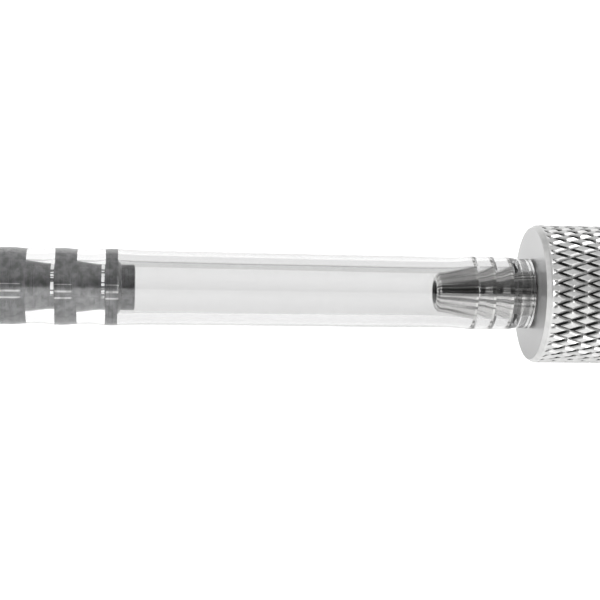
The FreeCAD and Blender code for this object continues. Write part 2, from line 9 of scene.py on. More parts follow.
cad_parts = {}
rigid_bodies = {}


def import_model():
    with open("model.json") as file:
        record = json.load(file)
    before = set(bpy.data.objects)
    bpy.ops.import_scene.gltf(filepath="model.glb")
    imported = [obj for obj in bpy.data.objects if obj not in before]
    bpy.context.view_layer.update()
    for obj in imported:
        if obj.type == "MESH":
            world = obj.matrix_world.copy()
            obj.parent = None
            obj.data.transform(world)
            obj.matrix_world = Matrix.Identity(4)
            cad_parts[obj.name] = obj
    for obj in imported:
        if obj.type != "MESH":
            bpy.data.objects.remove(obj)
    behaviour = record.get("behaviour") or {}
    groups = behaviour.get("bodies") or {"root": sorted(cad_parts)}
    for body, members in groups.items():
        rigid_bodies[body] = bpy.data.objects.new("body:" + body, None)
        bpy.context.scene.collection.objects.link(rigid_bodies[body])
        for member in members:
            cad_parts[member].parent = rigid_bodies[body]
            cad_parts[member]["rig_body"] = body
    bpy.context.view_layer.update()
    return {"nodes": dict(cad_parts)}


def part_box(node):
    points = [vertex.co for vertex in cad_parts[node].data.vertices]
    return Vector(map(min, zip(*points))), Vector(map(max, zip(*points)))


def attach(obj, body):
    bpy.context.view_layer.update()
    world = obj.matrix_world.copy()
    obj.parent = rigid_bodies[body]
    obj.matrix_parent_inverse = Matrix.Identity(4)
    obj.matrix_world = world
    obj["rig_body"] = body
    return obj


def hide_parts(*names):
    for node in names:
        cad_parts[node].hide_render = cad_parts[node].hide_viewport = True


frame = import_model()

mm = 0.001
print("frame loaded:", len(frame["nodes"]), "nodes")

# Stations along the tube, all from the frame, in metres
axisHeight = sum(corner.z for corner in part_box("sight_tube")) / 2
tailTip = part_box("hose_tail")[1].x
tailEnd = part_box("hose_tail")[0].x
nippleTip, flangeBack = (corner.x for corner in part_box("barbed_nipple"))
nutFace, nutMouth = (corner.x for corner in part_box("swivel_nut"))
tubeStart, tubeEnd = (corner.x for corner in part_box("sight_tube"))

# The two hose ends, in millimetres from their tips
tail = {"tip": 1.7, "tipCone": 0.5, "tipLand": 1.5, "pitch": 6.42, "land": 1.4, "cone": 4.05,
        "rearLand": 2.6, "neck": 3.3, "flange": 5.0, "tipRadius": 2.94, "peak": 3.52, "bore": 1.7,
        "threadRadius": 6.0, "hexAcross": 18.0, "chamfer": 0.9, "chamferRise": 0.54, "edge": 0.05,
        "foot": 0.16}
nipple = {"tipRim": 0.25, "tip": 0.6, "tipRadius": 2.63, "leadCone": 4.2, "leadStart": 1.15, "land": 0.45,
          "pitch": 2.35, "peak": 3.45, "stem": 2.92, "bore": 1.31, "journal": 3.55, "flangeRadius": 5.8,
          "flange": 2.0, "edge": 0.04, "paintedShadeLip": 0.25}


# Shader maths: a socket with operators, and one method for every other node
class Wire:
    def __init__(self, tree, socket):
        self.tree = tree
        self.socket = socket

    def maths(self, operation, *values):
        return self.tree.node("ShaderNodeMath", {"operation": operation}, *values)

    def __add__(self, other):
        return self.maths("ADD", self, other)

    def __sub__(self, other):
        return self.maths("SUBTRACT", self, other)

    def __mul__(self, other):
        return self.maths("MULTIPLY", self, other)

    def __radd__(self, other):
        return self.maths("ADD", other, self)

    def __rsub__(self, other):
        return self.maths("SUBTRACT", other, self)

    def __rmul__(self, other):
        return self.maths("MULTIPLY", other, self)

    def between(self, low, high):
        # 0 at low, 1 at high and a smooth step from one to the other
        settings = {"interpolation_type": "SMOOTHSTEP"}
        return self.tree.node("ShaderNodeMapRange", settings, self, low, high, 0, 1)


class Tree:
    def __init__(self, tree):
        self.tree = tree
        self.tree.nodes.clear()

    def node(self, kind, settings, *inputs, out=0, **named):
        made = self.tree.nodes.new(kind)
        for key, value in settings.items():
            setattr(made, key, value)
        for key, value in list(enumerate(inputs)) + [(k.replace("_", " "), v) for k, v in named.items()]:
            if isinstance(value, Wire):
                self.tree.links.new(value.socket, made.inputs[key])
            else:
                made.inputs[key].default_value = value
        return Wire(self, made.outputs[out]) if len(made.outputs) else None

    def place(self):
        return self.node("ShaderNodeTexCoord", {}, out="Object")

    def coordinate(self, vector, letter):
        return self.node("ShaderNodeSeparateXYZ", {}, vector, out=letter)

    def stretched(self, scale):
        return self.node("ShaderNodeMapping", {}, self.place(), Scale=scale)

    def turnedAbout(self):
        # the direction from the tube's axis, of length one
        parts = self.node("ShaderNodeVectorMath", {"operation": "MULTIPLY_ADD"},
                          self.place(), (0, 1, 1), (0, 0, -axisHeight))
        return self.node("ShaderNodeVectorMath", {"operation": "NORMALIZE"}, parts)

    def fannedOut(self, around, along):
        # a pattern's place that keeps to the same angle all along the piece
        scaled = self.node("ShaderNodeVectorMath", {"operation": "SCALE"}, self.turnedAbout(), Scale=around)
        return self.node("ShaderNodeVectorMath", {"operation": "MULTIPLY_ADD"},
                         self.place(), (along, 0, 0), scaled)

    def noise(self, vector, scale, detail=3, roughness=0.5):
        return self.node("ShaderNodeTexNoise", {}, Vector=vector, Scale=scale, Detail=detail,
                         Roughness=roughness)

    def blendColours(self, factor, one, other):
        made = self.tree.nodes.new("ShaderNodeMix")
        made.data_type = "RGBA"
        for key, value in ((0, factor), (6, one), (7, other)):
            if isinstance(value, Wire):
                self.tree.links.new(value.socket, made.inputs[key])
            else:
                made.inputs[key].default_value = value if key == 0 else (*value, 1)
        return Wire(self, made.outputs[2])

    def bump(self, height, strength, distance):
        return self.node("ShaderNodeBump", {}, Height=height, Strength=strength, Distance=distance)

    def surface(self, **named):
        shader = self.node("ShaderNodeBsdfPrincipled", {}, **named)
        self.node("ShaderNodeOutputMaterial", {"name": "Surface out"}, shader)


def newMaterial(name):
    made = bpy.data.materials.new(name)
    made.use_nodes = True
    return made, Tree(made.node_tree)


# Millimetres from the tail's tip to its first step
firstStep = tail["tip"] + tail["tipCone"] + tail["tipLand"]
# the clearer tint over the tail's barbs is painted light, the tube kept brighter there than along the rest
clearTubeLook = {"tint": (0.79, 0.79, 0.79), "paintedLightTint": (0.99, 0.99, 0.99), "tintFade": 1.0,
                 "roughness": 0.015, "scuff": 0.03, "ripple": 0.12, "ior": 1.5, "smoke": 0.5,
                 "smokeDensity": 110}


def clearTubeMaterial(look):
    made, tree = newMaterial("clearTube")
    ripple = tree.noise(tree.stretched((40, 260, 260)), 1.0, 2)
    scuffs = tree.noise(tree.stretched((300, 1500, 1500)), 1.0, 4).between(0.62, 0.78)
    # painted light: the tube is clearer, so brighter, over the tail's barbs than along the rest
    x = tree.coordinate(tree.place(), "X")
    free = x.between(tailTip - firstStep * mm, tailTip - (firstStep - look["tintFade"]) * mm)
    tree.surface(
        Base_Color=tree.blendColours(free, look["paintedLightTint"], look["tint"]),
        Roughness=look["roughness"] + scuffs * look["scuff"],
        IOR=look["ior"], Transmission_Weight=1.0,
        Normal=tree.bump(ripple, look["ripple"], 0.0002))
    smoke = tree.node("ShaderNodeVolumeAbsorption", {}, (look["smoke"],) * 3 + (1,), look["smokeDensity"])
    tree.tree.links.new(smoke.socket, tree.tree.nodes["Surface out"].inputs["Volume"])
    return made


def paintedHighlights(tree, look, blotch):
    # painted highlights: bright dashes at the foot of each step, and bright lines along the lands on the
    # side towards -Y
    place = tree.place()
    x, side = tree.coordinate(place, "X"), tree.coordinate(place, "Y")
    rise = tree.coordinate(place, "Z") - axisHeight
    height = tree.coordinate(tree.turnedAbout(), "Z")
    startLow, startHigh, endLow, endHigh = (edge * mm for edge in look["footBand"])
    paintedDashes = 0
    for step in look["steps"]:
        paintedDashes = paintedDashes + x.between(step + startLow, step + startHigh) * \
            (1 - x.between(step + endLow, step + endHigh))
    paintedDashes = paintedDashes * tree.noise(tree.stretched(look["dashScale"]), 1.0, 2).between(0.42, 0.50)
    paintedDashes = paintedDashes * height.between(*look["footBottom"])
    # the lands are found by the square of the distance from the axis
    square = side * side + rise * rise
    land = square.between(*look["landFrom"]) * (1 - square.between(*look["landTo"]))
    land = land * (0.6 + 0.4 * blotch.between(0.36, 0.50)) * side.between(0, -0.001)
    # painted highlight lines along the lands, at the heights listed in the look
    lines = 0
    for line, half in look["lines"]:
        lines = lines + height.between(line - half, line) * (1 - height.between(line, line + half))
    return paintedDashes, lines * land * look["paintedLineStrength"]


def metalMaterial(name, look):
    # turned or drawn lines run across the axis that lineScale stretches; blotches vary the sheen
    made, tree = newMaterial(name)
    lines = tree.noise(tree.stretched(look["lineScale"]), 1.0, 3, 0.6)
    blotch = tree.noise(tree.place(), look["blotchScale"], 3)
    wear = tree.noise(tree.place(), look["blotchScale"] * wearFineness, 4, 0.65).between(0.55, 0.75)
    dark = tuple(c * look["darkest"] for c in look["colour"])
    colour = tree.blendColours((blotch * 0.7 + lines * 0.3).between(0.36, 0.64), dark, look["colour"])
    metallic = look["metallic"]
    extra = {}
    if "paintedStreak" in look:
        # painted reflection streaks: darker bands along the piece, narrowing with it
        paintedStreaks = tree.noise(tree.fannedOut(streakAround, streakAlong), 1.0, 2, 0.6).between(0.40, 0.56)
        colour = tree.blendColours(paintedStreaks, tuple(c * look["paintedStreak"] for c in look["colour"]), colour)
    # painted highlights: bright dashes and land lines take a light colour and lose their metal
    if "paintedHighlightColour" in look:
        paintedDashes, paintedLandLines = paintedHighlights(tree, look, blotch)
        paintedHighlightShare = paintedDashes + paintedLandLines
        colour = tree.blendColours(paintedHighlightShare, colour, look["paintedHighlightColour"])
        metallic = look["metallic"] * (1 - paintedHighlightShare)
        # the painted highlight dashes also glow a little, a painted glow
        extra["Emission_Color"] = tree.blendColours(paintedDashes * look["paintedGlow"], (0, 0, 0), (1, 1, 1))
        extra["Emission_Strength"] = 1.0
    if "faceColour" in look:
        # flat faces across the axis, told by the normal, take a darker colour
        normal = tree.node("ShaderNodeNewGeometry", {}, out="Normal")
        facing = tree.coordinate(normal, "X")
        colour = tree.blendColours((facing * facing).between(0.80, 0.97), colour, look["faceColour"])
    # painted shade: faces marked in the attribute take a near-black colour and lose their metal
    if "paintedShadeColour" in look:
        paintedShade = tree.node("ShaderNodeAttribute", {"attribute_name": "paintedShade"}, out="Fac")
        colour = tree.blendColours(paintedShade, colour, look["paintedShadeColour"])
        metallic = look["metallic"] * (1 - paintedShade)
    if "specular" in look:
        extra["Specular_IOR_Level"] = look["specular"]
    tree.surface(
        Base_Color=colour,
        Metallic=metallic,
        Roughness=look["roughness"] + (lines - 0.5) * look["roughSpread"] + wear * look["wear"],
        Normal=tree.bump(lines, look["bump"], 0.00005),
        **extra)
    return made


aroundX = (9000, 60, 60)     # rings about X
aroundZ = (60, 60, 9000)     # rings about Z
alongX = (60, 5000, 5000)    # lines along X
streakAround, streakAlong = 7.0, 70  # painted reflection streaks along X: how often round the axis and along it
wearFineness = 9             # wear spots to a blotch
# nickel: the near-black colour is painted shade in the bore and round its lip, and the streak share darkens
# the painted reflection streaks
nickelLook = {"colour": (0.74, 0.735, 0.725), "paintedShadeColour": (0.008, 0.008, 0.008), "darkest": 0.86,
              "paintedStreak": 0.24, "metallic": 1.0, "roughness": 0.10, "roughSpread": 0.10, "wear": 0.03,
              "bump": 0.10, "lineScale": aroundX, "blotchScale": 260}
# dark anodised: the light mark colour and the keys after it paint highlights, bright glowing dashes at the
# steps' feet and bright lines along the lands
darkLook = {"colour": (0.27, 0.272, 0.276), "darkest": 0.55, "metallic": 0.6, "roughness": 0.30,
            "roughSpread": 0.16, "wear": 0.08, "bump": 0.25, "lineScale": (7000, 90, 90),
            "blotchScale": 1300, "paintedHighlightColour": (1.0, 1.0, 1.0), "paintedGlow": 0.5,
            "steps": [tailTip - (firstStep + along) * mm for along in (0, tail["pitch"])],
            "footBand": (-0.58, -0.50, -0.22, -0.12), "footBottom": (-0.14, -0.04),
            "dashScale": (200, 4200, 4200), "paintedLineStrength": 0.75,
            "lines": ((0.40, 0.02), (0.18, 0.06), (-0.04, 0.05)),
            "landFrom": (3.40e-3 ** 2, 3.46e-3 ** 2), "landTo": (3.58e-3 ** 2, 3.64e-3 ** 2)}
# nut: the near-black colour is painted shade on the knurl's flanks that face the tube; the face colour is
# given to flat faces across the axis
nutLook = {"colour": (0.54, 0.54, 0.535), "faceColour": (0.37, 0.37, 0.37),
           "paintedShadeColour": (0.006, 0.006, 0.006), "specular": 0.12, "darkest": 0.86, "metallic": 0.6,
           "roughness": 0.30, "roughSpread": 0.10, "wear": 0.05, "bump": 0.10, "lineScale": aroundX,
           "blotchScale": 900}
headLook = {"colour": (0.50, 0.50, 0.495), "darkest": 0.85, "metallic": 1.0, "roughness": 0.24,
            "roughSpread": 0.12, "wear": 0.05, "bump": 0.14, "lineScale": aroundX, "blotchScale": 240}
stainlessLook = {"colour": (0.50, 0.495, 0.485), "darkest": 0.80, "metallic": 1.0, "roughness": 0.24,
                 "roughSpread": 0.14, "wear": 0.06, "bump": 0.16, "lineScale": aroundZ, "blotchScale": 330}
leverLook = {"colour": (0.50, 0.495, 0.485), "darkest": 0.82, "metallic": 1.0, "roughness": 0.30,
             "roughSpread": 0.20, "wear": 0.08, "bump": 0.20, "lineScale": alongX, "blotchScale": 200}
springLook = {"colour": (0.52, 0.51, 0.50), "darkest": 0.80, "metallic": 1.0, "roughness": 0.34,
              "roughSpread": 0.10, "wear": 0.10, "bump": 0.15, "lineScale": aroundZ, "blotchScale": 500}


def softMaterial(name, look):
    # moulded rubber and plastic: a fine pebble, slow shade changes and rubbed high spots
    made, tree = newMaterial(name)
    pebble = tree.noise(tree.place(), look["pebbleScale"], 3, 0.6)
    shade = tree.noise(tree.place(), look["pebbleScale"] * shadeCoarseness, 2)
    light = tuple(min(1, c * look["lightest"]) for c in look["colour"])
    tree.surface(
        Base_Color=tree.blendColours(shade * 0.7 + pebble * 0.3, look["colour"], light),
        Roughness=look["roughness"] + (pebble - 0.5) * 0.18,
        Normal=tree.bump(pebble, look["bump"], 0.00008))
    return made


shadeCoarseness = 0.08       # scale of the slow shade changes to that of the pebble
ptfeLook = {"colour": (0.80, 0.80, 0.78), "lightest": 1.08, "roughness": 0.42,
            "pebbleScale": 900, "bump": 0.08}
blackLook = {"colour": (0.020, 0.020, 0.021), "lightest": 1.7, "roughness": 0.48,
             "pebbleScale": 2600, "bump": 0.20}
brownLook = {"colour": (0.060, 0.032, 0.022), "lightest": 1.6, "roughness": 0.46,
             "pebbleScale": 2400, "bump": 0.20}
vinylLook = {"colour": (0.030, 0.031, 0.034), "lightest": 1.6, "roughness": 0.36,
             "pebbleScale": 1500, "bump": 0.16}

materials = {
    "clear_pvc": clearTubeMaterial(clearTubeLook),
    "dark_anodised": metalMaterial("darkAnodised", darkLook),
    "nickel_plate": metalMaterial("nickelPlate", nickelLook),
    "nut_aluminium": metalMaterial("nutAluminium", nutLook),
    "head_aluminium": metalMaterial("headAluminium", headLook),
    "stainless": metalMaterial("stainless", stainlessLook),
    "lever_steel": metalMaterial("leverSteel", leverLook),
    "spring_washer_steel": metalMaterial("springSteel", springLook),
    "ptfe": softMaterial("ptfe", ptfeLook),
    "black_rubber": softMaterial("blackRubber", blackLook),
    "brown_rubber": softMaterial("brownRubber", brownLook),
    "sleeve_vinyl": softMaterial("sleeveVinyl", vinylLook),
}
print("materials made:", len(materials))


def softened(corners, cuts, steps=5, closed=True):
    # each corner becomes a parabola: (1-s)^2 start + 2s(1-s) corner + s^2 end, cut back on both sides
    corners = np.asarray(corners, float)
    before, after = np.roll(corners, 1, 0), np.roll(corners, -1, 0)
    lengths = [np.linalg.norm(side - corners, axis=1) for side in (before, after)]
    cut = np.minimum(np.broadcast_to(cuts, len(corners)), 0.45 * np.minimum(*lengths))
    if not closed:
        cut[[0, -1]] = 0
    start = corners + (before - corners) * (cut / lengths[0])[:, None]
    end = corners + (after - corners) * (cut / lengths[1])[:, None]
    s = np.linspace(0, 1, steps)[None, :, None]
    curve = (1 - s) ** 2 * start[:, None] + 2 * s * (1 - s) * corners[:, None] + s ** 2 * end[:, None]
    flat = curve.reshape(-1, 2)
    keep = np.linalg.norm(flat - np.roll(flat, 1, 0), axis=1) > 1e-9
    keep[0] = True
    return flat[keep]


def filled(profile, step, closed=True):
    # the same line with a point at least every step along it
    line = np.vstack([profile, profile[:1]]) if closed else profile
    along = np.concatenate([[0], np.cumsum(np.linalg.norm(np.diff(line, axis=0), axis=1))])
    extra = np.arange(0, along[-1], step)
    every = np.unique(np.round(np.concatenate([along, extra]), 7))
    every = every[:-1] if closed else every
    return np.stack([np.interp(every, along, line[:, 0]), np.interp(every, along, line[:, 1])], 1)


def meshFromGrid(name, points, closedLoop=True, smoothAngle=32, crossing=None):
    # points[i, j] is profile step i at angle step j; the angle always wraps, the profile if it is a loop
    rows, columns = points.shape[:2]
    i = np.arange(rows if closedLoop else rows - 1)[:, None]
    j = np.arange(columns)[None, :]
    up, over = (i + 1) % rows, (j + 1) % columns
    a, b, c, d = i * columns + j, i * columns + over, up * columns + over, up * columns + j
    if crossing is None:
        faces = np.stack([a, b, c, d], -1).reshape(-1, 4)
    else:
        # cells become two triangles, along b to d where crossing is true and a to c elsewhere
        first = np.where(crossing[..., None], np.stack([a, b, d], -1), np.stack([a, b, c], -1))
        second = np.where(crossing[..., None], np.stack([b, c, d], -1), np.stack([a, c, d], -1))
        faces = np.concatenate([first, second]).reshape(-1, 3)
    mesh = bpy.data.meshes.new(name)
    mesh.from_pydata(points.reshape(-1, 3).tolist(), [], faces.tolist())
    return finishedMesh(name, mesh, smoothAngle)


def finishedMesh(name, mesh, smoothAngle):
    # poles and collapsed edges are merged, and every face is turned outwards
    work = bmesh.new()
    work.from_mesh(mesh)
    bmesh.ops.remove_doubles(work, verts=work.verts, dist=2e-7)
    bmesh.ops.dissolve_degenerate(work, edges=work.edges, dist=1e-7)
    bmesh.ops.recalc_face_normals(work, faces=work.faces)
    work.to_mesh(mesh)
    work.free()
    mesh.polygons.foreach_set("use_smooth", np.ones(len(mesh.polygons), bool))
    mesh.set_sharp_from_angle(angle=math.radians(smoothAngle))
    made = bpy.data.objects.new(name, mesh)
    bpy.context.scene.collection.objects.link(made)
    return made


def turned(name, profile, around=192, radiusRule=None, closedLoop=True, smoothAngle=32, diagonalRule=None):
    # x = along, y = r cos(angle), z = axis height + r sin(angle), where radiusRule may change r
    angle = np.linspace(0, 2 * math.pi, around, endpoint=False)[None, :]
    along = np.repeat(profile[:, :1], around, 1)
    radius = np.repeat(profile[:, 1:], around, 1)
    if radiusRule is not None:
        radius = radiusRule(along, radius, angle)
    points = np.stack([along, radius * np.cos(angle), axisHeight + radius * np.sin(angle)], -1)
    crossing = None
    if diagonalRule is not None:
        crossing = diagonalRule((along + np.roll(along, -1, 0)) / 2, radius, angle + math.pi / around)
    return meshFromGrid(name, points, closedLoop, smoothAngle, crossing)


def placed(piece, node, slotName, materialName=None):
    # the piece rides on the body of the node that it stands for
    piece.data.materials.clear()
    piece.data.materials.append(materials[materialName or slotName])
    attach(piece, frame["nodes"][node]["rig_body"])
    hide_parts(node)
    return piece


def profileAt(origin, points):
    # millimetres from a station, to metres in the frame
    return np.array([(origin + along * mm, radius * mm) for along, radius in points])


def softerOf(one, other, width):
    # the smaller of two radii, with a rounded edge where they cross
    return (one + other - np.sqrt((one - other) ** 2 + width ** 2)) / 2


# The clear tube: its inner wall rests on the barbs' lands and sags between them
# The lists are pairs of a distance and an inner radius
tube = {"wallArea": 12.62, "nippleWallArea": 11.75, "endWallArea": 12.4, "endRound": 0.12, "around": 256,
        "step": 0.25, "blur": 1.2, "beforeStep": ((-1.6, 3.28), (-0.4, 3.44)),
        "behindLand": ((1.1, 3.346), (2.2, 3.28)), "afterTip": ((2.3, 3.42),),
        "free": ((0.2, 3.31), (4, 3.26), (20, 3.18), (34, 3.11)),
        "beforeNipple": ((-5.2, 3.10), (-2.4, 3.16), (-1.0, 3.30)), "betweenBarbs": ((0.35, 3.34),),
        "afterBarbs": ((0.5, 3.22), (1.1, 3.05)), "end": 3.0}
contact = 0.012
freeSpan = (nippleTip - tailTip) / mm


def shifted(pairs, start):
    return [(start + along, radius) for along, radius in pairs]


def tubeWall():
    # stations in mm from the tail's tip, with the inner radius there
    peaks = [-firstStep - k * tail["pitch"] for k in range(3)]
    grip = tail["peak"] - contact
    knots = [((tubeStart - tailTip) / mm, grip)]
    for number in (2, 1, 0):
        peak = peaks[number]
        if number < 2:
            knots += shifted(tube["beforeStep"], peak) + [(peak - 0.02, grip)]
        landEnd = peak + (tail["tipLand"] if number == 0 else tail["land"])
        knots += [(peak + 0.05, grip), (landEnd, grip)]
        if number > 0:
            knots += shifted(tube["behindLand"], landEnd)
    knots += shifted(tube["afterTip"], peaks[0]) + list(tube["free"])
    first = freeSpan + nipple["tip"] + nipple["leadCone"]
    knots += shifted(tube["beforeNipple"], first)
    for number in range(3):
        peak = first + nipple["land"] + number * nipple["pitch"]
        knots += [(peak - nipple["land"] + 0.05, nipple["peak"] - contact),
                  (peak - 0.06, nipple["peak"] - contact)]
        knots += shifted(tube["betweenBarbs"] if number < 2 else tube["afterBarbs"], peak)
    knots += [((tubeEnd - tailTip) / mm, tube["end"])]
    return np.array(knots)


def makeTube():
    knots = tubeWall()
    low, high = knots[0, 0], knots[-1, 0]
    along = np.unique(np.concatenate([np.arange(low, high, tube["step"]), knots[:, 0]]))
    inner = np.interp(along, knots[:, 0], knots[:, 1])
    area = np.interp(along, [freeSpan - 2, freeSpan + 3, freeSpan + 11, high],
                     [tube["wallArea"], tube["nippleWallArea"], tube["nippleWallArea"], tube["endWallArea"]])
    # the outer wall follows the inner one blurred along the tube: outer^2 = inner^2 + wall area
    reach = np.linspace(-tube["blur"], tube["blur"], 17)
    weight = np.cos(reach / tube["blur"] * math.pi / 2) ** 2
    around = np.interp(along[:, None] + reach[None, :], along, inner)
    smoothInner = (around * weight).sum(1) / weight.sum()
    outer = np.sqrt(smoothInner ** 2 + area)
    r = tube["endRound"]
    outerLine = np.stack([along, outer], 1)[::-1]
    innerLine = np.stack([along, inner], 1)
    outerLine = outerLine[(outerLine[:, 0] > low + 2 * r) & (outerLine[:, 0] < high - 2 * r)]
    rightEnd = softened([(high - 2 * r, inner[-1]), (high, inner[-1]), (high, outer[-1]),
                         (high - 2 * r, outer[-1])], [0, r, r, 0], closed=False)
    leftEnd = softened([(low + 2 * r, outer[0]), (low, outer[0]), (low, inner[0]),
                        (low + 2 * r, inner[0])], [0, r, r, 0], closed=False)
    innerLine = innerLine[(innerLine[:, 0] > low + 2 * r) & (innerLine[:, 0] < high - 2 * r)]
    loop = np.vstack([innerLine, rightEnd, outerLine, leftEnd])
    profile = profileAt(tailTip, loop)
    made = turned("clearSightTube", profile, tube["around"], smoothAngle=40)
    return placed(made, "sight_tube", "clear_pvc")


def hexRule(across, width):
    # the hexagon's radius at an angle is half its width over the cosine of the angle from the nearest flat
    def rule(along, radius, angle):
        fromFlat = np.mod(angle - math.pi / 2 + math.pi / 6, math.pi / 3) - math.pi / 6
        return softerOf(radius, across / 2 * mm / np.cos(fromFlat), width * mm)
    return rule


def makeHoseTail():
    t = tail
    corner = t["hexAcross"] / math.sqrt(3)
    land = -t["tip"] - t["tipCone"]
    points = [(0, t["bore"]), (0, t["tipRadius"]), (-t["tip"], t["tipRadius"]), (land, t["peak"])]
    cuts = [0.1, 0.18, 0.06, 0.10]
    for number in range(2):
        peak = land - t["tipLand"] - number * t["pitch"]
        landEnd = peak - t["pitch"] + t["land"]
        points += [(peak, t["peak"]), (peak - 0.02, t["tipRadius"]), (landEnd + t["cone"], t["tipRadius"]),
                   (landEnd, t["peak"])]
        cuts += [t["edge"], t["foot"], 0.5, 0.25]
    last = land - t["tipLand"] - 2 * t["pitch"]
    rear = last - t["rearLand"]
    hexFace = rear - t["neck"]
    back = hexFace - t["flange"]
    end = (tailEnd - tailTip) / mm
    points += [(rear, t["peak"]), (rear - 0.02, t["tipRadius"]), (hexFace, t["tipRadius"]),
               (hexFace, corner - t["chamfer"]), (hexFace - t["chamferRise"], corner),
               (back + t["chamferRise"], corner), (back, corner - t["chamfer"]), (back, t["threadRadius"]),
               (end, t["threadRadius"]), (end, t["bore"])]
    cuts += [t["edge"], t["foot"], 0.3, 0.05, 0.05, 0.05, 0.05, 0.05, 0.3, 0.1]
    profile = filled(softened(points, cuts), 0.14)
    made = turned("hoseTail", profileAt(tailTip, profile), 288, hexRule(t["hexAcross"], 0.12))
    return placed(made, "hose_tail", "dark_anodised")


def makeNipple():
    n = nipple
    first = n["tip"] + n["leadCone"]
    points = [(n["tipRim"], n["bore"]), (0, n["bore"] + n["tipRim"]), (0, n["tipRadius"] - 0.55),
              (0.42, n["tipRadius"]), (n["leadStart"], n["tipRadius"] + 0.02), (first, n["peak"] - 0.05)]
    cuts = [0.1, 0.1, 0.25, 0.25, 0.3, 0.06]
    for number in range(3):
        back = first + n["land"] + number * n["pitch"]
        points += [(back - n["land"] * 0.6, n["peak"]), (back, n["peak"]), (back + 0.03, n["stem"])]
        cuts += [0.06, n["edge"], 0.12]
        if number < 2:
            points += [(back + 0.75, n["stem"]), (back + n["pitch"] - n["land"], n["peak"] - 0.05)]
            cuts += [0.3, 0.06]
    face = (nutFace - nippleTip) / mm
    end = (flangeBack - nippleTip) / mm
    points += [(face, n["stem"]), (face, n["journal"]), (end - n["flange"], n["journal"]),
               (end - n["flange"], n["flangeRadius"]), (end, n["flangeRadius"]), (end, n["bore"])]
    cuts += [0.1, 0.1, 0.1, 0.2, 0.2, 0.1]
    profile = filled(softened(points, cuts), 0.3)
    made = turned("barbedNipple", profileAt(nippleTip, profile), 224)
    # painted shade: the bore and the lip round it are coloured near-black
    radius = faceCentres(made)[1]
    addPaintedShade(made, (radius < (n["bore"] + n["paintedShadeLip"]) * mm).astype(float))
    return placed(made, "barbed_nipple", "nickel_plate")


# The knurled nut: two families of V grooves that cross make the diamonds
nut = {"radius": 9.1, "chamfer": 0.36, "hole": 3.6, "bore": 6.45, "endWall": 3.2, "teeth": 40,
       "diamond": 3.9, "depth": 0.40, "grooveShare": 0.5, "firstCrossing": 1.4, "turn": 0.25,
       "plainEnd": 0.95, "fade": 0.30, "slope": 0.55, "edge": 0.05, "cells": 12, "paintedShadeShare": 0.74}


def groovePhases(along, angle):
    # how far a point is from the nearest groove of each family, in parts of a tooth, signed
    phase = nut["teeth"] * angle / (2 * math.pi) + nut["turn"]
    shift = ((along - nutFace) / mm - nut["firstCrossing"]) / nut["diamond"]
    return [np.mod(phase + sign * shift + 0.5, 1) - 0.5 for sign in (1, -1)]


def knurlRule(along, radius, angle):
    # V grooves: deepest where a phase is nought, back at the crest a quarter tooth away, none near the ends
    falling, rising = groovePhases(along, angle)
    nearest = np.minimum(np.abs(falling), np.abs(rising)) / (nut["grooveShare"] / 2)
    fromEnd = np.minimum(along - nutFace, nutMouth - along) / mm - nut["plainEnd"]
    within = np.clip(fromEnd / nut["fade"], 0, 1)
    outside = radius > (nut["radius"] - 1e-3) * mm
    return radius - np.where(outside, nut["depth"] * np.clip(1 - nearest, 0, 1) * within * mm, 0)


def makeNut():
    length = (nutMouth - nutFace) / mm
    r, c, e = nut["radius"], nut["chamfer"], nut["edge"]
    corners = [(0, nut["hole"]), (0, nut["hole"] + 0.3), (0, r - c - 0.2), (0, r - c), (nut["slope"], r),
               (length - nut["slope"], r), (length, r - c), (length, r - c - 0.2), (length, nut["bore"]),
               (nut["endWall"], nut["bore"]), (nut["endWall"], nut["hole"])]
    profile = softened(corners, [0.1, 0, 0, e, e, e, e, 0, 0.2, 0.05, 0.05])
    step = nut["diamond"] / nut["cells"]
    rows = nut["firstCrossing"] % step + step * np.arange(int(length / step) + 1)
    rows = rows[(rows > nut["slope"] + 0.1) & (rows < length - nut["slope"] - 0.1)]
    split = int(np.argmax(profile[:, 0] >= length - nut["slope"] - e))
    profile = np.vstack([profile[:split], np.stack([rows, np.full(len(rows), r)], 1), profile[split:]])
    made = turned("knurledNut", profileAt(nutFace, profile), nut["teeth"] * nut["cells"], knurlRule,
                  smoothAngle=14, diagonalRule=grooveDiagonals)
    shadeFlanks(made)
    return placed(made, "swivel_nut", "nut_aluminium")


def grooveDiagonals(along, radius, angle):
    # a cell is split along the groove family that is nearer, so that no groove crosses a face
    falling, rising = groovePhases(along, angle)
    knurled = (radius > (nut["radius"] - nut["depth"] * 1.1) * mm) & (along > nutFace + nut["slope"] * mm)
    return (np.abs(falling) < np.abs(rising)) & knurled


def faceCentres(made):
    # along, radius from the tube's axis and angle of each face's middle
    count = len(made.data.polygons)
    centres = np.zeros(count * 3)
    made.data.polygons.foreach_get("center", centres)
    along, side, rise = centres.reshape(-1, 3).T
    return along, np.hypot(side, rise - axisHeight), np.arctan2(rise - axisHeight, side)


def addPaintedShade(made, amount):
    # marks each face with a share of painted shade, from 0 to 1
    layer = made.data.attributes.new("paintedShade", "FLOAT", "FACE")
    layer.data.foreach_set("value", amount.astype(np.float32))


